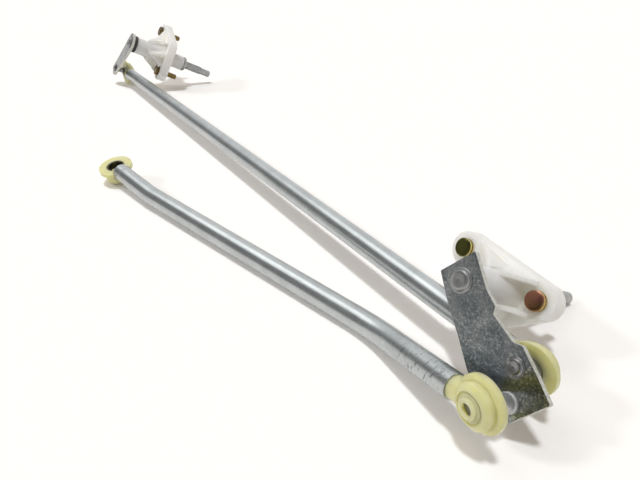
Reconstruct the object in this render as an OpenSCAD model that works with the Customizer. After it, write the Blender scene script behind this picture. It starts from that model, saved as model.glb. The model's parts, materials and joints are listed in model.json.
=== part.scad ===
// Windscreen wiper linkage, loose on the bench: two moulded pivot housings, two cranks on splined
// spindles, a long straight rod between the cranks and a short bent rod to the motor.
// Units are millimetres. Z is up, X runs along the bench from the near pivot to the far pivot.
// The origin is the centre of the near housing's seat face, on the near spindle's axis.

/* [Rods] */
// Outside diameter of both rod tubes
tube_d = 14; // [12.5:0.5:15.5]
// Wall of both rod tubes
tube_wall = 1.2; // [0.8:0.1:1.6]
// Long rod, ball centre to ball centre
long_rod_length = 620; // [560:5:680]
// Short rod, near ball centre to the bend
short_near_leg = 80.5; // [74:0.5:90]
// Short rod, main bend to the second bend
short_far_leg = 217; // [190:1:250]
// Short rod, end run up to the motor ball centre
short_end_leg = 55.5; // [48:0.5:66]
// Bend of the short rod seen from above
short_bend = 20; // [14:0.5:24]
// Slope of the short rod behind the bend
short_rise = 0.6; // [0.4:0.1:1]
// Second bend of the short rod seen from above
short_end_turn = -3.8; // [-8:0.2:-2]
// Slope of the end run
short_end_rise = 3.2; // [2:0.1:5]
// Centre-line radius of the tube bends
bend_radius = 70; // [50:5:110]

/* [Ball joints] */
// Ball diameter
ball_d = 13; // [11.5:0.5:13.5]
// Socket flange diameter
socket_flange_d = 27; // [26:0.2:29]
// Socket body diameter
socket_body_d = 21.5; // [20:0.5:22.5]
// Lean of the rod sockets from level
socket_lean = 4; // [0:0.5:8]
// Lean of the upturned motor socket from upright
motor_socket_lean = 13; // [0:1:20]
// Ball centre above the plate, housing side
rear_ball_height = 12.5; // [12:0.1:13.5]
// Ball centre above the plate, open side
front_ball_height = 21.5; // [19:0.5:24]

/* [Cranks] */
// Spindle to long-rod ball, both cranks
crank_radius = 51.4; // [48:0.2:55]
// Spindle to short-rod ball on the near crank
motor_radius = 63.4; // [61:0.2:65]
// Thickness of both crank plates
plate_t = 3; // [2.5:0.1:3.5]
// Width of the far crank at its spindle
lever_w = 22.5; // [20:0.5:25]

/* [Spindles] */
// Spindle diameter
spindle_d = 10; // [9:0.5:11]
// Spindle length from the crank's open face
spindle_length = 104.8; // [100:0.2:112]
// Thread diameter at the tip
thread_d = 8; // [6:1:8]
// Thread length at the tip
thread_length = 12.4; // [10:0.2:14]
// Splines round the arm cone
spline_count = 24; // [16:2:32]

/* [Housings] */
// Flange thickness
flange_t = 9.5; // [8:0.5:11]
// Length of the hub between crank and flange
hub_length = 32; // [31:0.5:37]
// Length of the nose past the flange
nose_length = 19; // [15:0.5:22]
// Nose diameter
nose_d = 17; // [16:0.5:19]
// Spindle axis to the far-set bolt
bolt_far = 37.4; // [35:0.2:40]
// Spindle axis to the close-set bolt
bolt_near = 20.4; // [20:0.2:23]
// Radius of the bolt lobes
lobe_r = 10.5; // [10:0.5:12]
// Thickness of the stiffening ribs
rib_t = 2.6; // [2:0.2:3]
// Bolt thread diameter
bolt_d = 6; // [5:0.5:6]
// Bolt length under the head
bolt_length = 23; // [18:1:26]

/* [Lie on the bench] */
// Lean of the near spindle below level
near_lean = 24; // [21:0.2:27]
// Lean of the far spindle below level
far_lean = 26; // [24:0.2:30]
// Heading of the long rod from the bench's X axis
long_heading = 7.5; // [4:0.5:10]
// Heading of the short rod's near leg
short_heading = 1.8; // [0:0.2:4]
// Turn of the far housing round its spindle
far_housing_turn = 46; // [30:1:60]

/* [Hidden] */
$fn = 96;
tube_r = tube_d / 2;
ball_r = ball_d / 2;
ball_fit = 0.05;
spindle_fit = 0.05;
washer_t = 3.9;
hub_gap = 0.1;
hub_z = plate_t + washer_t + hub_gap;
flange_z = hub_z + hub_length;
seat_z = flange_z + flange_t;
nose_z = seat_z + nose_length;
clip_washer_t = 1.2;
clip_t = 1.2;
clip_z = nose_z + hub_gap + clip_washer_t;
cone_z = clip_z + clip_t + 1.6;
thread_z = spindle_length - thread_length;
thread_r = thread_d / 2;
hub_r = spindle_d / 2 + 4.2;
hub_foot_r = bolt_near - 7.8;
bolt_r = bolt_d / 2;
bolt_hole_r = bolt_r + 0.1;
head_r = bolt_d * 0.96;
head_t = bolt_d * 0.6;
bolt_far_at = bolt_far * [cos(6.8), sin(6.8)];
bolt_near_at = bolt_near * [cos(166), sin(166)];
foot_at = [1, -16.5];
rear_angle = 197.05;
front_angle = 208.4;
rear_at = crank_radius * [cos(rear_angle), sin(rear_angle)];
front_at = motor_radius * [cos(front_angle), sin(front_angle)];
lever_angle = -51.5;
lever_at = crank_radius * [cos(lever_angle), sin(lever_angle)];
neck_r = 3.2;
socket_reach = 15.4;
motor_reach = 8.4;
socket_flange_t = 2.8;
shoulder_z = -4.2;
socket_back_z = -6.2;
boss_z = -7.8;
boss_r = 4.8;

// Lie of each group: a point or direction of a pivot's own frame brought to the bench frame.
function leaned(p, lean) = [p.x, -p.y * sin(lean) - p.z * cos(lean), p.y * cos(lean) - p.z * sin(lean)];
function unit(v) = v / norm(v);
function across(v, along) = unit(v - (v * along) * along);
function heading(turn, rise) = [cos(rise) * cos(turn), cos(rise) * sin(turn), sin(rise)];
function turn_of(x, z) = let (y = cross(z, x)) [atan2(y.z, z.z), -asin(x.z), atan2(x.y, x.x)];
function rest_height(lean) = spindle_length * sin(lean) + (thread_r - 0.8) * cos(lean);

near_axis = leaned([0, 0, 1], near_lean);
far_axis = leaned([0, 0, 1], far_lean);
bench_z = -(rest_height(near_lean) + leaned([0, 0, seat_z], near_lean).z);
near_foot = -leaned([0, 0, seat_z], near_lean);
rear_ball = near_foot + leaned([rear_at.x, rear_at.y, plate_t + rear_ball_height], near_lean);
front_ball = near_foot + leaned([front_at.x, front_at.y, -front_ball_height], near_lean);
lever_ball = leaned([lever_at.x, lever_at.y, plate_t + rear_ball_height], far_lean);
far_ball_z = bench_z + socket_flange_d / 2 + 0.1;
long_rise = asin((far_ball_z - rear_ball.z) / long_rod_length);
long_dir = heading(long_heading, long_rise);
far_ball = rear_ball + long_rod_length * long_dir;
far_foot = far_ball - lever_ball;
long_side = cross([0, 0, 1], long_dir);
long_mouth = across(long_side * cos(socket_lean) + [0, 0, sin(socket_lean)], long_dir);

kink_z = bench_z + tube_r;
short_dir = heading(short_heading, asin((kink_z - front_ball.z) / short_near_leg));
kink_at = front_ball + short_near_leg * short_dir;
middle_dir = heading(short_heading + short_bend, short_rise);
lift_at = kink_at + short_far_leg * middle_dir;
end_dir = heading(short_heading + short_bend + short_end_turn, short_end_rise);
motor_ball = lift_at + short_end_leg * end_dir;
short_side = cross([0, 0, 1], short_dir);
short_mouth = -across(short_side * cos(socket_lean) + [0, 0, sin(socket_lean)], short_dir);
motor_up = across([0, 0, 1], end_dir);
motor_mouth = motor_up * cos(motor_socket_lean) - cross(end_dir, motor_up) * sin(motor_socket_lean);
motor_drop = motor_ball.z - bench_z - 0.1 - boss_r * sqrt(1 - motor_mouth.z * motor_mouth.z);
motor_depth = max(0, motor_drop / motor_mouth.z + boss_z);

module place(p, x, z) {
    translate(p) rotate(turn_of(x, z)) children();
}

module near_pivot() {
    translate(near_foot) rotate([90 + near_lean, 0, 0]) children();
}

module far_pivot() {
    translate(far_foot) rotate([90 + far_lean, 0, 0]) children();
}

// Straight-sided band round two discs, its sides set in a hair from the tangents.
module band(a, ra, b, rb) {
    gap = norm(b - a);
    lean = acos((ra - rb) / gap);
    way = atan2(b.y - a.y, b.x - a.x);
    left = 0.985 * [cos(way + lean), sin(way + lean)];
    right = 0.985 * [cos(way - lean), sin(way - lean)];
    translate(a) circle(ra);
    translate(b) circle(rb);
    polygon([a + ra * left, b + rb * left, b + rb * right, a + ra * right]);
}

// Rounded corner of an outline, as a short run of points.
function corner(before, at, after, r) =
    let (
        u = unit(before - at),
        v = unit(after - at),
        half = acos(u * v) / 2,
        centre = at + unit(u + v) * r / sin(half),
        from = at + u * r / tan(half) - centre,
        to = at + v * r / tan(half) - centre,
        start = atan2(from.y, from.x),
        swing = atan2(from.x * to.y - from.y * to.x, from * to)
    )
    [for (i = [0:5]) centre + r * [cos(start + swing * i / 5), sin(start + swing * i / 5)]];

function rounded(points, radii) =
    let (n = len(points))
    [for (i = [0:n - 1]) each corner(points[(i + n - 1) % n], points[i], points[(i + 1) % n], radii[i])];

// Peened rivet head on z = 0, pointing along -z: a low swaged rim round a button with rounded shoulders.
module rivet_head(r, h) {
    rotate_extrude() polygon([
        [0, 0], [r, 0], [r, -h * 0.2], [r - 0.4, -h * 0.34], [r * 0.84, -h * 0.38], [r * 0.78, -h * 0.68],
        [r * 0.7, -h * 0.88], [r * 0.56, -h], [r * 0.3, -h * 0.97], [0, -h * 0.92]
    ]);
}

// Ball stud riveted through a plate that fills z = 0 to plate_t; the ball is on the +z side.
module ball_stud(height) {
    shank = max(1.6, height - 11);
    rivet_head(5.2, 1.8);
    cylinder(h = plate_t, r = 4);
    translate([0, 0, plate_t]) cylinder(h = 1.2, r = 5.2);
    translate([0, 0, plate_t]) cylinder(h = shank, r = 4.6);
    translate([0, 0, plate_t + shank]) cylinder(h = 1.4, r1 = 4.6, r2 = neck_r);
    translate([0, 0, plate_t]) cylinder(h = height, r = neck_r);
    translate([0, 0, plate_t + height]) sphere(ball_r);
}

// Nylon ball socket: ball centre at the origin, mouth towards +z, rod towards +x. Its tube starts at
// reach; depth is added behind the ball.
module ball_socket(reach, depth) {
    body_r = socket_body_d / 2;
    back_z = socket_back_z - depth;
    shoulder = shoulder_z - depth;
    difference() {
        union() {
            cylinder(h = socket_flange_t, d = socket_flange_d);
            translate([0, 0, -1]) cylinder(h = 1, r1 = body_r + 1, r2 = socket_flange_d / 2 - 0.4);
            translate([0, 0, shoulder]) cylinder(h = -shoulder, r = body_r);
            translate([0, 0, back_z]) cylinder(h = shoulder - back_z, r1 = body_r - 2.6, r2 = body_r);
            translate([0, 0, boss_z - depth])
                cylinder(h = socket_back_z - boss_z + 0.5, r1 = boss_r, r2 = boss_r + 0.6);
            rotate([0, 90, 0]) cylinder(h = reach, r = tube_r - 0.9);
        }
        translate([0, 0, back_z - 2]) difference() {
            cylinder(h = 2.8, r = 7.6);
            translate([0, 0, -1]) cylinder(h = 5, r = 6.4);
        }
        sphere(ball_r + ball_fit);
        translate([0, 0, 2]) cylinder(h = tube_r, r1 = ball_r - 0.6, r2 = ball_r + 3.6);
        translate([0, 0, boss_z - depth - 1]) cylinder(h = depth + 6, r = 2.9);
        translate([reach, 0, 0]) rotate([0, 90, 0]) cylinder(h = socket_flange_d, r = tube_r + 0.05);
    }
    translate([reach - 0.5, 0, 0]) rotate([0, 90, 0]) cylinder(h = 14, r = tube_r - tube_wall);
}

// Cross-section of a rod tube, with its wall thickened on both sides by a little.
module tube_ring(extra) {
    difference() {
        circle(tube_r + extra);
        circle(tube_r - tube_wall - extra);
    }
}

// Straight run of tube from one point to another.
module tube_run(from, to) {
    way = to - from;
    translate(from)
        rotate([0, acos(way.z / norm(way)), atan2(way.y, way.x)])
        linear_extrude(norm(way)) tube_ring(0);
}

// Bend in a tube where it turns from one direction to another. Its wall is a hair thicker, so that the
// straight runs end inside it.
module tube_bend(at, from_dir, to_dir) {
    angle = acos(from_dir * to_dir);
    start = at - from_dir * bend_radius * tan(angle / 2);
    outward = -across(to_dir - from_dir, from_dir);
    place(start - outward * bend_radius, outward, cross(outward, from_dir))
        rotate_extrude(angle = angle) translate([bend_radius, 0]) tube_ring(0.03);
}

// Rolled crimp groove round a tube, at a point along its direction.
module crimp(at, way) {
    place(at, across([0, 1, 0], way), way)
        rotate_extrude() translate([tube_r + 0.35, 0]) circle(0.8, $fn = 24);
}

// Outline of the housing flange: two bolt lobes and a foot lobe.
module flange_outline() {
    band(bolt_far_at, lobe_r, bolt_near_at, lobe_r);
    band(bolt_far_at, lobe_r, foot_at, lobe_r);
    band(bolt_near_at, lobe_r, foot_at, lobe_r);
}

// Pair of hollow-curved ribs from the hub to a lobe, one on each side of it; rise is how far up the hub.
module lobe_ribs(at, rise) {
    way = atan2(at.y, at.x);
    reach = norm(at);
    spread = lobe_r - rib_t / 2 - 0.3;
    for (side = [-1, 1])
        rotate([0, 0, way]) translate([0, side * spread + rib_t / 2, flange_z])
            rotate([90, 0, 0]) linear_extrude(rib_t)
            polygon([
                [hub_r * 0.33, 0.5], [hub_r * 0.33, -rise], [hub_r * 0.5, -rise],
                [hub_r * 0.9, -rise + 2.6], [hub_r + reach * 0.10, -hub_length * 0.38],
                [hub_r + reach * 0.28, -hub_length * 0.22], [hub_r + reach * 0.5, -hub_length * 0.09],
                [reach * 0.8, -0.7], [reach * 0.8 + 1.5, 0.5]
            ]);
}

module pivot_housing() {
    difference() {
        union() {
            translate([0, 0, flange_z]) linear_extrude(flange_t) flange_outline();
            rotate_extrude() polygon([
                [0, hub_z], [hub_r - 0.8, hub_z], [hub_r, hub_z + 0.8],
                [hub_r + 0.6, hub_z + hub_length * 0.5], [hub_r + 1.2, hub_z + hub_length * 0.7],
                [hub_r + 2.2, hub_z + hub_length * 0.86],
                [hub_foot_r, flange_z], [hub_foot_r, seat_z - 1], [0, seat_z - 1]
            ]);
            lobe_ribs(bolt_far_at, hub_length * 0.64);
            lobe_ribs(bolt_near_at, hub_length * 0.6);
            lobe_ribs(foot_at, hub_length * 0.56);
            translate([0, 0, seat_z - 1]) cylinder(h = nose_length, d = nose_d);
            translate([0, 0, nose_z - 1]) cylinder(h = 1, d1 = nose_d, d2 = nose_d - 2);
        }
        translate([0, 0, hub_z - 1]) cylinder(h = nose_z, r = spindle_d / 2 + spindle_fit);
        for (at = [bolt_far_at, bolt_near_at])
            translate([at.x, at.y, flange_z - 1]) cylinder(h = flange_t + 2, r = bolt_hole_r);
        translate([foot_at.x, foot_at.y - 1, flange_z - 0.01]) cylinder(h = 5, r = 5.4);
        translate([13.5, 1.6, seat_z - 4]) cube([11, 3.4, 5]);
        translate([13.5, -6.6, seat_z - 4]) cube([9, 5, 5]);
    }
}

// Two round-headed bolts, heads on the crank side of the flange, with a groove round each head. The
// shank in the flange is rolled down to less than the thread, which starts at the seat face.
module housing_bolts() {
    for (at = [bolt_far_at, bolt_near_at])
        translate([at.x, at.y, flange_z]) rotate_extrude() polygon([
            [0, -head_t], [head_r - 0.7, -head_t], [head_r, -head_t + 0.5], [head_r, -1.7],
            [head_r - 0.6, -1.5], [head_r - 0.6, -1.1], [head_r, -0.9], [head_r, 0], [bolt_r - 0.3, 0],
            [bolt_r - 0.3, flange_t], [bolt_r, flange_t], [bolt_r, bolt_length - 0.8],
            [bolt_r - 0.7, bolt_length], [0, bolt_length]
        ]);
}

module pivot_spindle() {
    cone_top = spindle_d / 2 - 0.35;
    cone_tip = thread_r + 0.6;
    difference() {
        union() {
            rivet_head(7, 2.3);
            cylinder(h = plate_t, r = spindle_d / 2 - 1);
            translate([0, 0, plate_t]) cylinder(h = cone_z - 1.2 - plate_t, r = spindle_d / 2);
            translate([0, 0, cone_z - 1.2]) cylinder(h = 1.2, r1 = spindle_d / 2, r2 = cone_top - 0.3);
            translate([0, 0, cone_z])
                cylinder(h = thread_z - cone_z, r1 = cone_top - 0.3, r2 = cone_tip - 0.3);
            for (i = [0:spline_count - 1])
                rotate([90, 0, (i + 0.37) * 360 / spline_count])
                    linear_extrude(0.5, center = true)
                    polygon([
                        [cone_top - 1.4, cone_z + 0.5], [cone_top, cone_z + 0.5],
                        [cone_tip, thread_z - 0.6], [cone_tip - 1.4, thread_z - 0.6]
                    ]);
            translate([0, 0, thread_z]) cylinder(h = spindle_length - 0.8 - thread_z, r = thread_r);
            translate([0, 0, spindle_length - 0.8]) cylinder(h = 0.8, r1 = thread_r, r2 = thread_r - 0.8);
        }
        translate([0, 0, clip_z]) difference() {
            cylinder(h = clip_t, r = spindle_d);
            translate([0, 0, -1]) cylinder(h = clip_t + 2, r = spindle_d / 2 - 0.7);
        }
    }
}

module flat_ring(z, t, inner_r, outer_r) {
    translate([0, 0, z]) difference() {
        cylinder(h = t, r = outer_r);
        translate([0, 0, -1]) cylinder(h = t + 2, r = inner_r);
    }
}

// Rubber-faced thrust ring with a groove round its rim.
module thrust_ring() {
    difference() {
        flat_ring(plate_t, washer_t, spindle_d / 2 + spindle_fit, hub_r + 0.5);
        translate([0, 0, plate_t + washer_t * 0.42])
            flat_ring(0, washer_t * 0.2, hub_r - 0.5, hub_r + 3);
    }
}

module clip_washer() {
    flat_ring(clip_z - clip_washer_t, clip_washer_t, spindle_d / 2 + spindle_fit, nose_d / 2);
}

// Snap ring in the spindle's groove, open on one side.
module clip_ring() {
    difference() {
        flat_ring(clip_z, clip_t, spindle_d / 2 - 0.7 + spindle_fit, spindle_d / 2 + 2.7);
        translate([0, -1.6, clip_z - 1]) cube([spindle_d, 3.2, clip_t + 2]);
    }
}

// Outline of the near crank, stepped along its upper edge.
module crank_outline() {
    points = crank_radius * [
        [0.288, -0.062], [0.035, 0.331], [-0.298, 0.095], [-0.471, 0.023], [-0.494, -0.051], [-0.809, -0.128],
        [-0.903, -0.097], [-1.148, -0.21], [-1.385, -0.331], [-1.187, -0.728], [-0.607, -0.673],
        [-0.274, -0.447], [-0.023, -0.296]
    ];
    radii = [0.8, 0.8, 6, 1.2, 1, 1.2, 1, 8, 0.9, 0.9, 8, 14, 14];
    polygon(rounded(points, radii));
}

// Far crank before drilling: two round ends and the straight-sided web between them, set in a hair.
module lever_blank() {
    big_r = lever_w / 2;
    end_r = big_r - 2.5;
    cylinder(h = plate_t, r = big_r);
    translate([lever_at.x, lever_at.y, 0]) cylinder(h = plate_t, r = end_r);
    rotate([0, 0, lever_angle]) linear_extrude(plate_t) polygon([
        [0, big_r * 0.985], [0, -big_r * 0.985],
        [crank_radius, -end_r * 0.985], [crank_radius, end_r * 0.985]
    ]);
}

module near_housing() {
    color("WhiteSmoke") near_pivot() pivot_housing();
}

module near_bolts() {
    color("Peru") near_pivot() housing_bolts();
}

module near_spindle() {
    color("SlateGray") near_pivot() pivot_spindle();
}

module near_crank_plate() {
    color("LightSlateGray") near_pivot() difference() {
        linear_extrude(plate_t) crank_outline();
        translate([0, 0, -1]) cylinder(h = plate_t + 2, r = spindle_d / 2 - 1);
        for (at = [rear_at, front_at])
            translate([at.x, at.y, -1]) cylinder(h = plate_t + 2, r = 4);
    }
}

module near_rear_stud() {
    color("Silver") near_pivot() translate([rear_at.x, rear_at.y, 0]) ball_stud(rear_ball_height);
}

module near_front_stud() {
    color("Silver") near_pivot() translate([front_at.x, front_at.y, plate_t])
        rotate([180, 0, 0]) ball_stud(front_ball_height);
}

module near_thrust_ring() {
    color("DimGray") near_pivot() thrust_ring();
}

module near_clip_washer() {
    color("Gray") near_pivot() clip_washer();
}

module near_clip() {
    color("DimGray") near_pivot() clip_ring();
}

module far_housing() {
    color("WhiteSmoke") far_pivot() rotate([0, 0, far_housing_turn]) mirror([0, 1, 0]) pivot_housing();
}

module far_bolts() {
    color("Peru") far_pivot() rotate([0, 0, far_housing_turn]) mirror([0, 1, 0]) housing_bolts();
}

module far_spindle() {
    color("SlateGray") far_pivot() pivot_spindle();
}

module far_crank_lever() {
    color("LightSlateGray") far_pivot() difference() {
        lever_blank();
        translate([0, 0, -1]) cylinder(h = plate_t + 2, r = spindle_d / 2 - 1);
        translate([lever_at.x, lever_at.y, -1]) cylinder(h = plate_t + 2, r = 4);
    }
}

module far_stud() {
    color("Silver") far_pivot() translate([lever_at.x, lever_at.y, 0]) ball_stud(rear_ball_height);
}

module far_thrust_ring() {
    color("DimGray") far_pivot() thrust_ring();
}

module far_clip_washer() {
    color("Gray") far_pivot() clip_washer();
}

module far_clip() {
    color("DimGray") far_pivot() clip_ring();
}

module long_tube() {
    color("Gainsboro") difference() {
        tube_run(rear_ball + long_dir * socket_reach, far_ball - long_dir * socket_reach);
        crimp(rear_ball + long_dir * (socket_reach + 9), long_dir);
        crimp(far_ball - long_dir * (socket_reach + 9), long_dir);
    }
}

module long_near_socket() {
    color("Khaki") place(rear_ball, long_dir, long_mouth) ball_socket(socket_reach, 0);
}

module long_far_socket() {
    color("Khaki") place(far_ball, -long_dir, long_mouth) ball_socket(socket_reach, 0);
}

module short_tube() {
    bend = bend_radius * tan(acos(short_dir * middle_dir) / 2) - 0.4;
    lift = bend_radius * tan(acos(middle_dir * end_dir) / 2) - 0.4;
    color("Gainsboro") difference() {
        union() {
            tube_run(front_ball + short_dir * socket_reach, kink_at - short_dir * bend);
            tube_bend(kink_at, short_dir, middle_dir);
            tube_run(kink_at + middle_dir * bend, lift_at - middle_dir * lift);
            tube_bend(lift_at, middle_dir, end_dir);
            tube_run(lift_at + end_dir * lift, motor_ball - end_dir * motor_reach);
        }
        crimp(front_ball + short_dir * (socket_reach + 9), short_dir);
        crimp(motor_ball - end_dir * (motor_reach + 9), end_dir);
    }
}

module short_near_socket() {
    color("Khaki") place(front_ball, short_dir, short_mouth) ball_socket(socket_reach, 0);
}

module short_motor_socket() {
    color("Khaki") place(motor_ball, -end_dir, motor_mouth) ball_socket(motor_reach, motor_depth);
}

near_housing();
near_bolts();
near_spindle();
near_crank_plate();
near_rear_stud();
near_front_stud();
near_thrust_ring();
near_clip_washer();
near_clip();
far_housing();
far_bolts();
far_spindle();
far_crank_lever();
far_stud();
far_thrust_ring();
far_clip_washer();
far_clip();
long_tube();
long_near_socket();
long_far_socket();
short_tube();
short_near_socket();
short_motor_socket();
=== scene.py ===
"""Looks of a windscreen wiper linkage lying loose on a pale bench."""

import json
from math import pi, radians

import bpy
from mathutils import Matrix, Vector


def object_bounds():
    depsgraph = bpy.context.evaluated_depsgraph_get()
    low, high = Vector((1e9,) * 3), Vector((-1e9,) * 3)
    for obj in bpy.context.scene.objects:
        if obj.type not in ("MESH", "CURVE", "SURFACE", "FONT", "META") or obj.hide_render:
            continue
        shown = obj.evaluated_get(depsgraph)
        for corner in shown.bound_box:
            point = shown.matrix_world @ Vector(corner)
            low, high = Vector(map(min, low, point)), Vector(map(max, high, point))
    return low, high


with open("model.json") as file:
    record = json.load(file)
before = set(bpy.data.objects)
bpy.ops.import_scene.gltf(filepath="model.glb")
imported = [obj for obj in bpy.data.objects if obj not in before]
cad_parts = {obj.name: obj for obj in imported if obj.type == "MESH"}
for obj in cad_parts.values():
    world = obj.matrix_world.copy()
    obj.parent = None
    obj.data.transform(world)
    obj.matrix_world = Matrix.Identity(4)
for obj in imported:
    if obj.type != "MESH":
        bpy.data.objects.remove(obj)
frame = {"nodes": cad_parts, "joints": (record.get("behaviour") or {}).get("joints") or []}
cad_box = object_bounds()
nodes = frame["nodes"]
joints = {joint["name"]: joint for joint in frame["joints"]}

MM = 0.001
MICRON = 0.000001

# Camera that sees the part as it lies in the picture, in metres of the CAD frame
CAMERA_AT = Vector((-0.15817, 0.21418, 0.18042))
CAMERA_RIGHT = Vector((-0.451865, -0.891068, 0.042620))
CAMERA_DOWN = Vector((-0.495842, 0.211155, -0.842350))
CAMERA_CLIP = 10 * MM
LENS_MM = 29.58
SENSOR_MM = 36.0

# Bench just below the part. The lift is what the camera and mirrors see on top of its light.
BENCH_GAP = 2 * MICRON
BENCH_Z = cad_box[0][2] - BENCH_GAP
BENCH_REACH = 30.0
BENCH_WHITE = (0.95, 0.935, 0.915, 1)
BENCH_GLOW = (1, 0.94, 0.88, 1)
BENCH_LIFT = 0.09

# Lamps: the way to each, its spread in degrees, and its level, 1 being white on a matt face
KEY_WAY = (-0.03, 0.36, 2.95)
KEY_SPREAD = 7
KEY_LEVEL = 0.50
SECOND_WAY = (0.9, 2.13, 1.6)
SECOND_SPREAD = 6
SECOND_LEVEL = 0.19
LAMP_TINT = (0.97, 1.0, 1.05)
ROOM_TINT = (1, 0.92, 0.83)
NEUTRAL = (1, 1, 1)

# Axes and points that the surface patterns follow
NEAR_AXIS = Vector(joints["near_spindle_turn"]["axis"]).normalized()
FAR_AXIS = Vector(joints["far_spindle_turn"]["axis"]).normalized()
NEAR_BALL = Vector(joints["long_rod_swing"]["pos_m"])
FRONT_BALL = Vector(joints["short_rod_swing"]["pos_m"])
FAR_BALL = Vector(joints["far_crank_swing"]["pos_m"])
FAR_PIVOT = Vector(joints["far_spindle_turn"]["pos_m"])
MOTOR_SEAT = Vector((0.2764, 0.1764, -0.01345))
LONG_WAY = (FAR_BALL - NEAR_BALL).normalized()
SHORT_WAY = Vector((0.928, 0.372, 0.010)).normalized()
SHORT_END_WAY = Vector((1, 0.02, 0))
SHORT_END = Vector((-0.028, 0.080, -0.006))
LONG_END_REACH = 50 * MM
SHORT_END_REACH = 34 * MM
BROWN_BOLT = Vector((-0.0198, 0.0095, 0.0096))
CRANK_MARK = Vector((-0.0360, 0.0526, 0.0011))
NEAR_SCRATCH_WAY = NEAR_AXIS.cross(Vector((0.3, 0.2, 0.9)))
FAR_SCRATCH_WAY = Vector((0.6, 0.35, -0.7))

# Seat faces of the housings, as a reach along each spindle's axis; the bolts' threads pass them
NEAR_SEAT = 0
FAR_SEAT = FAR_PIVOT.dot(FAR_AXIS)


def calculate(tree, operation, *values):
    """Result of one operation on node outputs or plain numbers."""
    made = tree.nodes.new("ShaderNodeMath")
    made.operation = operation
    for socket, value in zip(made.inputs, values):
        if isinstance(value, (int, float)):
            socket.default_value = value
        else:
            tree.links.new(value, socket)
    return made.outputs["Value"]


def map_range(tree, value, low, high, to_low, to_high, curve="LINEAR"):
    """A value stretched from one range to another."""
    made = tree.nodes.new("ShaderNodeMapRange")
    made.interpolation_type = curve
    ends = {"From Min": low, "From Max": high, "To Min": to_low, "To Max": to_high}
    for socket, end in ends.items():
        made.inputs[socket].default_value = end
    tree.links.new(value, made.inputs["Value"])
    return made.outputs["Result"]


def dot_product(tree, vector, way):
    """How far a vector reaches along a direction."""
    made = tree.nodes.new("ShaderNodeVectorMath")
    made.operation = "DOT_PRODUCT"
    made.inputs[1].default_value = way
    tree.links.new(vector, made.inputs[0])
    return made.outputs["Value"]


def colour_mix(tree, factor, a, b):
    """A blend of two colours, each an output or plain numbers."""
    made = tree.nodes.new("ShaderNodeMix")
    made.data_type = "RGBA"
    sockets = [socket for socket in made.inputs if socket.type == "RGBA"]
    for socket, value in zip(sockets, (a, b)):
        if isinstance(value, tuple):
            socket.default_value = (*value, 1)
        else:
            tree.links.new(value, socket)
    tree.links.new(factor, made.inputs["Factor"])
    return next(socket for socket in made.outputs if socket.type == "RGBA")


def seen_rays(tree):
    """1 on rays from the camera, mirrors and clear bodies, 0 on rays that only light."""
    path = tree.nodes.new("ShaderNodeLightPath").outputs
    mirrored = calculate(tree, "MAXIMUM", path["Is Glossy Ray"], path["Is Transmission Ray"])
    return calculate(tree, "MAXIMUM", path["Is Camera Ray"], mirrored)


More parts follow.
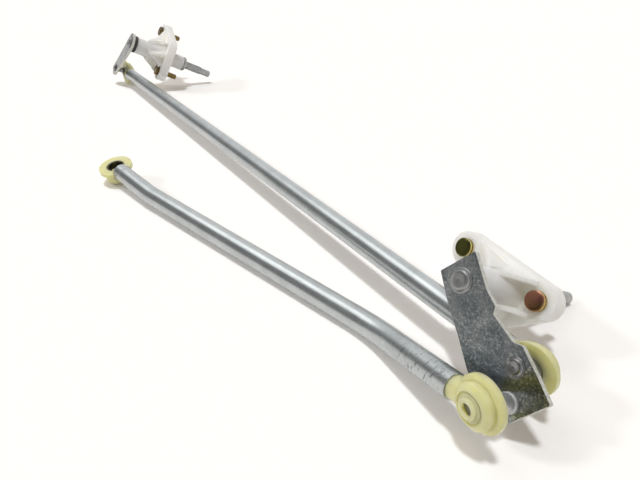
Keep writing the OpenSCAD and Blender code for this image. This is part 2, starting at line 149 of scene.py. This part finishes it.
class Shader:
    """A Principled material and the few node chains that its patterns are made of."""

    def __init__(self, name, **sockets):
        self.material = bpy.data.materials.new(name)
        self.material.use_nodes = True
        self.tree = self.material.node_tree
        self.body = self.tree.nodes["Principled BSDF"]
        for socket, value in sockets.items():
            self.body.inputs[socket.replace("_", " ")].default_value = value

    def node(self, kind, **settings):
        made = self.tree.nodes.new("ShaderNode" + kind)
        for key, value in settings.items():
            setattr(made, key, value)
        return made

    def link(self, output, socket):
        self.tree.links.new(output, socket)

    def place(self):
        """Coordinates that stay with the piece, in metres."""
        return self.node("TexCoord").outputs["Object"]

    def along(self, way, squeeze):
        """Coordinates with x along a direction, squeezed so that patterns stretch along it."""
        turn = self.node("VectorRotate", rotation_type="EULER_XYZ", invert=True)
        turn.inputs["Rotation"].default_value = Vector(way).to_track_quat("X", "Z").to_euler()
        scale = self.node("Mapping", vector_type="POINT")
        scale.inputs["Scale"].default_value = (squeeze, 1, 1)
        self.link(self.place(), turn.inputs["Vector"])
        self.link(turn.outputs["Vector"], scale.inputs["Vector"])
        return scale.outputs["Vector"]

    def noise(self, scale, detail, rough, where=None, twist=0):
        """Cloudy pattern from 0 to 1, with a number of features to the metre."""
        made = self.node("TexNoise")
        made.inputs["Scale"].default_value = scale
        made.inputs["Detail"].default_value = detail
        made.inputs["Roughness"].default_value = rough
        made.inputs["Distortion"].default_value = twist
        if where is None:
            where = self.place()
        self.link(where, made.inputs["Vector"])
        return made.outputs["Fac"]

    def ramp(self, value, *stops):
        """Colours at places along a 0 to 1 value."""
        made = self.node("ValToRGB")
        points = made.color_ramp.elements
        while len(points) < len(stops):
            points.new(0.5)
        for point, (at, colour) in zip(points, stops):
            point.position = at
            point.color = (*colour, 1)
        self.link(value, made.inputs["Fac"])
        return made.outputs["Color"]

    def span(self, value, low, high, to_low, to_high):
        return map_range(self.tree, value, low, high, to_low, to_high)

    def mix(self, factor, a, b):
        return colour_mix(self.tree, factor, a, b)

    def times(self, a, b):
        return calculate(self.tree, "MULTIPLY", a, b)

    def paint(self, colour, rough):
        self.link(colour, self.body.inputs["Base Color"])
        self.link(rough, self.body.inputs["Roughness"])

    def relief(self, *layers, edge):
        """Bumps from pairs of a height and a depth in metres, over edges softened by a radius."""
        soft = self.node("Bevel", samples=4)
        soft.inputs["Radius"].default_value = edge
        normal = soft.outputs["Normal"]
        for height, depth in layers:
            bump = self.node("Bump")
            bump.inputs["Strength"].default_value = 1
            bump.inputs["Distance"].default_value = depth
            self.link(height, bump.inputs["Height"])
            self.link(normal, bump.inputs["Normal"])
            normal = bump.outputs["Normal"]
        self.link(normal, self.body.inputs["Normal"])

    def distance(self, at):
        """Distance from a point of the part, in metres."""
        apart = self.node("VectorMath", operation="DISTANCE")
        apart.inputs[1].default_value = at
        self.link(self.place(), apart.inputs[0])
        return apart.outputs["Value"]

    def within(self, at, reach, pattern):
        """A pattern that is full near a point and fades out towards a distance from it."""
        full_share = 0.4
        fade = self.span(self.distance(at), full_share * reach, reach, 1, 0)
        return self.times(fade, pattern)

    def ring(self, at, radius, half_width):
        """1 on a thin ring round a point, 0 elsewhere."""
        off = calculate(self.tree, "SUBTRACT", self.distance(at), radius)
        return self.span(calculate(self.tree, "ABSOLUTE", off), 0, half_width, 1, 0)

    def reach(self, way):
        """How far a point lies along a direction, in metres."""
        return dot_product(self.tree, self.place(), way)

    def cut_edge(self, way):
        """1 on the sides of a plate whose faces look along a direction, 0 on the faces."""
        normal = self.node("NewGeometry").outputs["True Normal"]
        facing = calculate(self.tree, "ABSOLUTE", dot_product(self.tree, normal, way))
        side_ends, face_starts = 0.3, 0.8
        return self.span(facing, side_ends, face_starts, 1, 0)

    def ridges(self, way, pitch):
        """Height of ridges that repeat along a direction, as on a thread."""
        turns = self.times(self.reach(way), 1 / pitch)
        half_turn = 0.5
        return calculate(self.tree, "PINGPONG", turns, half_turn)


def zinc_tube(name, way, end_way, end_at, end_reach):
    """Bright zinc on drawn tube: drawing lines, scratches, and scuffs and crimping marks at an end."""
    dull, bright = (0.44, 0.465, 0.47), (0.54, 0.565, 0.565)
    scratched, speck = (0.62, 0.64, 0.63), (0.16, 0.15, 0.13)
    scuff_grey, crimp_grey = (0.20, 0.20, 0.19), (0.13, 0.14, 0.145)
    shader = Shader(name, Metallic=1.0)
    lines = shader.noise(2200, 3, 0.6, shader.along(way, 0.02))
    scratches = shader.noise(1100, 6, 0.75, shader.along(way, 0.10), twist=1.2)
    clouds = shader.noise(70, 5, 0.65)
    specks = shader.noise(1300, 2, 0.5)
    rubs = shader.noise(420, 6, 0.8, shader.along(way, 0.45), twist=1.4)
    bands = shader.noise(230, 3, 0.6, shader.along(end_way, 5.0))
    tone = shader.ramp(clouds, (0.32, dull), (0.68, bright))
    tone = shader.mix(shader.span(scratches, 0.58, 0.74, 0, 0.3), tone, scratched)
    tone = shader.mix(shader.span(specks, 0.70, 0.78, 0, 0.45), tone, speck)
    scuffs = shader.within(end_at, end_reach, shader.span(rubs, 0.52, 0.66, 0, 0.5))
    tone = shader.mix(scuffs, tone, scuff_grey)
    crimps = shader.within(end_at, end_reach, shader.span(bands, 0.58, 0.66, 0, 0.8))
    tone = shader.mix(crimps, tone, crimp_grey)
    shader.paint(tone, shader.span(lines, 0.3, 0.7, 0.25, 0.37))
    shader.relief((lines, 5 * MICRON), (scratches, 6 * MICRON), edge=0.2 * MM)
    return shader.material


def crank_steel(name, face_way, scratch_way, mark_at=None):
    """Dark zinc on stamped plate: mottling, hairline scratches, a rubbed arc, bright cut edges."""
    dark, middle, light = (0.13, 0.145, 0.155), (0.26, 0.28, 0.285), (0.62, 0.65, 0.64)
    blot, patch = (0.17, 0.185, 0.20), (0.60, 0.64, 0.62)
    scratched, rubbed = (0.66, 0.68, 0.66), (0.75, 0.76, 0.74)
    edge_dull, edge_bright = (0.46, 0.46, 0.42), (0.74, 0.73, 0.68)
    arc_radius, arc_half_width = 3.4 * MM, 0.4 * MM
    shader = Shader(name, Metallic=1.0)
    blots = shader.noise(65, 5, 0.62, twist=0.3)
    patches = shader.noise(30, 3, 0.6, twist=0.4)
    mottle = shader.noise(700, 6, 0.75)
    grain = shader.noise(1800, 3, 0.6)
    streaks = shader.noise(750, 5, 0.75, shader.along(scratch_way, 0.08), twist=0.8)
    tone = shader.ramp(mottle, (0.38, dark), (0.50, middle), (0.64, light))
    tone = shader.mix(shader.span(blots, 0.40, 0.62, 0.75, 0), tone, blot)
    tone = shader.mix(shader.span(patches, 0.50, 0.66, 0, 0.42), tone, patch)
    tone = shader.mix(shader.span(streaks, 0.60, 0.74, 0, 0.5), tone, scratched)
    if mark_at is not None:
        arc = shader.ring(mark_at, arc_radius, arc_half_width)
        tone = shader.mix(shader.times(arc, shader.span(blots, 0.38, 0.50, 0.8, 0.1)), tone, rubbed)
    side = shader.cut_edge(face_way)
    side_tone = shader.ramp(mottle, (0.36, edge_dull), (0.64, edge_bright))
    face_rough = shader.span(mottle, 0.3, 0.7, 0.17, 0.30)
    side_rough = shader.span(side, 0, 1, 0, 0.6)
    rough = calculate(shader.tree, "MAXIMUM", face_rough, side_rough)
    shader.paint(shader.mix(side, tone, side_tone), rough)
    shader.relief((grain, 5 * MICRON), (mottle, 6 * MICRON), edge=0.3 * MM)
    return shader.material


def turned_steel(name, way):
    """Machined steel with faint turning rings."""
    dull, bright = (0.27, 0.275, 0.275), (0.44, 0.445, 0.44)
    shader = Shader(name, Metallic=1.0)
    rings = shader.noise(2400, 2, 0.5, shader.along(way, 8.0))
    clouds = shader.noise(120, 4, 0.6)
    tone = shader.ramp(clouds, (0.3, dull), (0.7, bright))
    shader.paint(tone, shader.span(rings, 0.3, 0.7, 0.26, 0.42))
    shader.relief((rings, 8 * MICRON), edge=0.3 * MM)
    return shader.material


def polished_steel(name, ball_at, painted_brightness, rough, edge):
    """Ball studs with rub marks. Each stud's brightness is painted light: a painted glint on the front
    one, a painted dark reflection on the others. The ball has a dull film of grease, darker as painted
    shade.
    """
    grease_and_shade, grease_rough = (0.20, 0.20, 0.16), 0.55
    grease_and_shade_full, grease_and_shade_end = 6.6 * MM, 7.6 * MM
    shader = Shader(name, Metallic=1.0)
    rubs = shader.noise(700, 5, 0.7, twist=1.0)
    # Base brightness is painted light: high as a painted glint, low as a painted dark reflection
    tone = shader.ramp(rubs, (0.35, (painted_brightness * 0.7,) * 3), (0.65, (painted_brightness,) * 3))
    # Dark tone on the ball: grease, and painted shade inside the socket
    ball = shader.span(shader.distance(ball_at), grease_and_shade_full, grease_and_shade_end, 1, 0)
    film_and_shade = shader.times(ball, shader.span(rubs, 0.2, 0.8, 0.7, 1.0))
    shader.paint(shader.mix(ball, tone, grease_and_shade), shader.span(film_and_shade, 0, 1, rough, grease_rough))
    shader.relief((rubs, 5 * MICRON), edge=edge)
    return shader.material


def yellow_zinc(name, way, seat, brown_at):
    """Yellow passivated bolts: gold sides, olive or brown faces, brown thread past the seat face."""
    green_gold, gold, red_gold = (0.62, 0.60, 0.20), (0.70, 0.55, 0.20), (0.60, 0.38, 0.16)
    dark_olive, olive = (0.05, 0.055, 0.02), (0.14, 0.14, 0.04)
    brown, red_brown = (0.46, 0.28, 0.11), (0.40, 0.18, 0.13)
    thread_brown, dirt_brown = (0.20, 0.14, 0.05), (0.10, 0.085, 0.04)
    brown_full, brown_end = 10 * MM, 20 * MM
    thread_runout, thread_pitch, thread_depth = 0.4 * MM, 1 * MM, 0.4 * MM
    shader = Shader(name, Metallic=1.0)
    tints = shader.noise(90, 2, 0.5, twist=0.5)
    dirt = shader.noise(800, 4, 0.65)
    sides = shader.ramp(tints, (0.36, green_gold), (0.50, gold), (0.64, red_gold))
    olives = shader.ramp(tints, (0.36, dark_olive), (0.60, olive))
    browns = shader.ramp(tints, (0.36, brown), (0.60, red_brown))
    near_brown = shader.span(shader.distance(brown_at), brown_full, brown_end, 1, 0)
    tone = shader.mix(shader.cut_edge(way), shader.mix(near_brown, olives, browns), sides)
    past_seat = shader.span(shader.reach(way), seat, seat + thread_runout, 0, 1)
    tone = shader.mix(past_seat, tone, thread_brown)
    tone = shader.mix(shader.span(dirt, 0.58, 0.74, 0, 0.45), tone, dirt_brown)
    shader.paint(tone, shader.span(dirt, 0.3, 0.7, 0.16, 0.28))
    thread = shader.times(shader.ridges(way, thread_pitch), past_seat)
    shader.relief((thread, thread_depth), (dirt, 4 * MICRON), edge=0.3 * MM)
    return shader.material


def white_nylon(name):
    """Moulded nylon: warm white, faintly cloudy, satin, with a fine moulded grain."""
    warm, white, stain = (0.935, 0.915, 0.835), (0.955, 0.94, 0.875), (0.72, 0.67, 0.54)
    shader = Shader(
        name, Subsurface_Weight=0.8, Subsurface_Scale=18 * MM,
        Subsurface_Radius=(1.0, 0.95, 0.85), Specular_IOR_Level=0.4,
    )
    clouds = shader.noise(45, 4, 0.6)
    stains = shader.noise(170, 5, 0.7, twist=0.8)
    grain = shader.noise(2600, 3, 0.6)
    tone = shader.ramp(clouds, (0.3, warm), (0.7, white))
    tone = shader.mix(shader.span(stains, 0.60, 0.78, 0, 0.25), tone, stain)
    shader.paint(tone, shader.span(grain, 0.3, 0.7, 0.34, 0.5))
    shader.relief((grain, 12 * MICRON), (clouds, 150 * MICRON), edge=1.1 * MM)
    return shader.material


def socket_nylon(name):
    """Natural nylon sockets: pale yellow-green, lit a little way in, with flecks; painted shade, an
    uneven dark olive, round the far ball; near-black grease and painted shade in the motor ball's
    seat."""
    deep, pale, fleck = (0.595, 0.575, 0.265), (0.705, 0.685, 0.37), (0.46, 0.42, 0.19)
    far_shade_olive, grease_and_shade = (0.14, 0.13, 0.06), (0.04, 0.036, 0.025)
    far_shade_full, far_shade_end = 8.5 * MM, 13.5 * MM
    grease_and_shade_full, grease_and_shade_end = 7.7 * MM, 8.0 * MM
    shader = Shader(
        name, Subsurface_Weight=0.8, Subsurface_Scale=12 * MM,
        Subsurface_Radius=(1.0, 0.95, 0.45), Coat_Weight=0.15, Coat_Roughness=0.2,
    )
    clouds = shader.noise(110, 4, 0.6)
    flecks = shader.noise(900, 4, 0.6)
    tone = shader.ramp(clouds, (0.3, deep), (0.7, pale))
    tone = shader.mix(shader.span(flecks, 0.64, 0.76, 0, 0.3), tone, fleck)
    # Painted shade: uneven dark olive on the socket round the far ball
    film_and_shade = shader.span(shader.distance(FAR_BALL), far_shade_full, far_shade_end, 0.6, 0)
    tone = shader.mix(shader.times(film_and_shade, shader.span(clouds, 0.35, 0.55, 0.5, 1)), tone, far_shade_olive)
    # Near-black in the motor ball's seat: grease, and painted shade in the hollow
    seat = shader.span(shader.distance(MOTOR_SEAT), grease_and_shade_full, grease_and_shade_end, 0.95, 0)
    tone = shader.mix(seat, tone, grease_and_shade)
    shader.paint(tone, shader.span(flecks, 0.3, 0.7, 0.26, 0.42))
    shader.relief((flecks, 15 * MICRON), (clouds, 120 * MICRON), edge=0.9 * MM)
    return shader.material


def dark_rubber(name):
    """Thrust rings: dark, dusty, finely pitted."""
    black, dusty = (0.035, 0.034, 0.031), (0.12, 0.115, 0.105)
    shader = Shader(name)
    pits = shader.noise(1600, 4, 0.7)
    dust = shader.noise(200, 4, 0.6)
    tone = shader.ramp(dust, (0.35, black), (0.7, dusty))
    shader.paint(tone, shader.span(pits, 0.3, 0.7, 0.55, 0.8))
    shader.relief((pits, 40 * MICRON), edge=0.3 * MM)
    return shader.material


def dress(material, *names):
    """Gives nodes a material in place of their own."""
    for name in names:
        nodes[name].data.materials.clear()
        nodes[name].data.materials.append(material)


def dress_part():
    """Every node of the part gets its material."""
    dress(white_nylon("white_nylon"), "near_housing", "far_housing")
    dress(yellow_zinc("near_yellow_zinc", NEAR_AXIS, NEAR_SEAT, BROWN_BOLT), "near_bolts")
    dress(yellow_zinc("far_yellow_zinc", FAR_AXIS, FAR_SEAT, FAR_PIVOT), "far_bolts")
    for side, axis in (("near", NEAR_AXIS), ("far", FAR_AXIS)):
        turned = turned_steel(side + "_turned_steel", axis)
        dress(turned, side + "_spindle", side + "_clip_washer", side + "_clip")
    near_plate = crank_steel("near_crank_steel", NEAR_AXIS, NEAR_SCRATCH_WAY, CRANK_MARK)
    dress(near_plate, "near_crank_plate")
    dress(crank_steel("far_crank_steel", FAR_AXIS, FAR_SCRATCH_WAY), "far_crank_lever")
    # Painted light: rear and far studs painted dark as a dark reflection, the front stud bright as a
    # painted glint
    painted_dark_stud = {"painted_brightness": 0.32, "rough": 0.18, "edge": 0.6 * MM}
    painted_glint_stud = {"painted_brightness": 0.92, "rough": 0.42, "edge": 2.2 * MM}
    dress(polished_steel("rear_stud_steel", NEAR_BALL, **painted_dark_stud), "near_rear_stud")
    dress(polished_steel("front_stud_steel", FRONT_BALL, **painted_glint_stud), "near_front_stud")
    dress(polished_steel("far_stud_steel", FAR_BALL, **painted_dark_stud), "far_stud")
    dress(dark_rubber("dark_rubber"), "near_thrust_ring", "far_thrust_ring")
    long_zinc = zinc_tube("long_zinc", LONG_WAY, LONG_WAY, NEAR_BALL, LONG_END_REACH)
    dress(long_zinc, "long_tube")
    short_zinc = zinc_tube("short_zinc", SHORT_WAY, SHORT_END_WAY, SHORT_END, SHORT_END_REACH)
    dress(short_zinc, "short_tube")
    dress(
        socket_nylon("socket_nylon"),
        "long_near_socket", "long_far_socket", "short_near_socket", "short_motor_socket",
    )


def pale_floor():
    """Bench: matt white that keeps the shadows, lifted to white for the camera and mirrors."""
    mesh = bpy.data.meshes.new("floor")
    signs = ((-1, -1), (1, -1), (1, 1), (-1, 1))
    corners = [(x * BENCH_REACH, y * BENCH_REACH, BENCH_Z) for x, y in signs]
    mesh.from_pydata(corners, [], [(0, 1, 2, 3)])
    floor = bpy.data.objects.new("floor", mesh)
    bpy.context.scene.collection.objects.link(floor)
    shader = Shader(
        "floor_white", Base_Color=BENCH_WHITE, Roughness=0.9, Specular_IOR_Level=0,
        Emission_Color=BENCH_GLOW,
    )
    lift = shader.times(seen_rays(shader.tree), BENCH_LIFT)
    shader.link(lift, shader.body.inputs["Emission Strength"])
    mesh.materials.append(shader.material)


def studio_world():
    """Dim warm room with a soft window. The camera and mirrors also see its pale walls, and the
    dark wall that the crank plate faces."""
    world = bpy.data.worlds.new("studio")
    world.use_nodes = True
    bpy.context.scene.world = world
    tree = world.node_tree
    background = tree.nodes["Background"]
    looking = tree.nodes.new("ShaderNodeTexCoord").outputs["Generated"]

    def lobe(way, start, full, low, high):
        """Light that goes from low to high as a direction turns towards a given one."""
        facing = dot_product(tree, looking, Vector(way).normalized())
        return map_range(tree, facing, start, full, low, high, "SMOOTHSTEP")

    window = lobe((0.50, 0.26, 0.83), start=0.930, full=0.976, low=0.31, high=1.8)
    dark_wall = lobe((0.55, 0.82, 0.10), start=0.35, full=0.85, low=0.05, high=-0.05)
    right_wall = lobe((0.50, -0.60, 0.60), start=0.20, full=0.85, low=0.0, high=0.60)
    near_wall = lobe((-0.93, -0.30, 0.15), start=0.45, full=0.95, low=0.0, high=0.50)
    walls = calculate(tree, "ADD", dark_wall, calculate(tree, "ADD", right_wall, near_wall))
    seen = seen_rays(tree)
    light = calculate(tree, "ADD", window, calculate(tree, "MULTIPLY", walls, seen))
    tree.links.new(light, background.inputs["Strength"])
    tint = colour_mix(tree, seen, ROOM_TINT, NEUTRAL)
    tree.links.new(tint, background.inputs["Color"])


def soft_lamp(name, way, spread, level):
    """A soft light from one direction; mirrors show the room's window instead of it."""
    lamp = bpy.data.lights.new(name, "SUN")
    lamp.angle = radians(spread)
    lamp.energy = level * pi
    lamp.color = LAMP_TINT
    made = bpy.data.objects.new(name, lamp)
    made.visible_glossy = False
    made.rotation_euler = Vector(way).to_track_quat("Z", "Y").to_euler()
    bpy.context.scene.collection.objects.link(made)


def photo_camera():
    """Camera placed where it sees the part as the picture does."""
    lens = bpy.data.cameras.new("photo")
    lens.sensor_width = SENSOR_MM
    lens.lens = LENS_MM
    lens.clip_start = CAMERA_CLIP
    camera = bpy.data.objects.new("photo", lens)
    back = CAMERA_DOWN.cross(CAMERA_RIGHT)
    turn = Matrix((CAMERA_RIGHT, -CAMERA_DOWN, back)).transposed().to_4x4()
    camera.matrix_world = Matrix.Translation(CAMERA_AT) @ turn
    bpy.context.scene.collection.objects.link(camera)
    bpy.context.scene.camera = camera


dress_part()
pale_floor()
studio_world()
soft_lamp("key", KEY_WAY, KEY_SPREAD, KEY_LEVEL)
soft_lamp("second", SECOND_WAY, SECOND_SPREAD, SECOND_LEVEL)
photo_camera()
bpy.context.scene.view_settings.view_transform = "Standard"
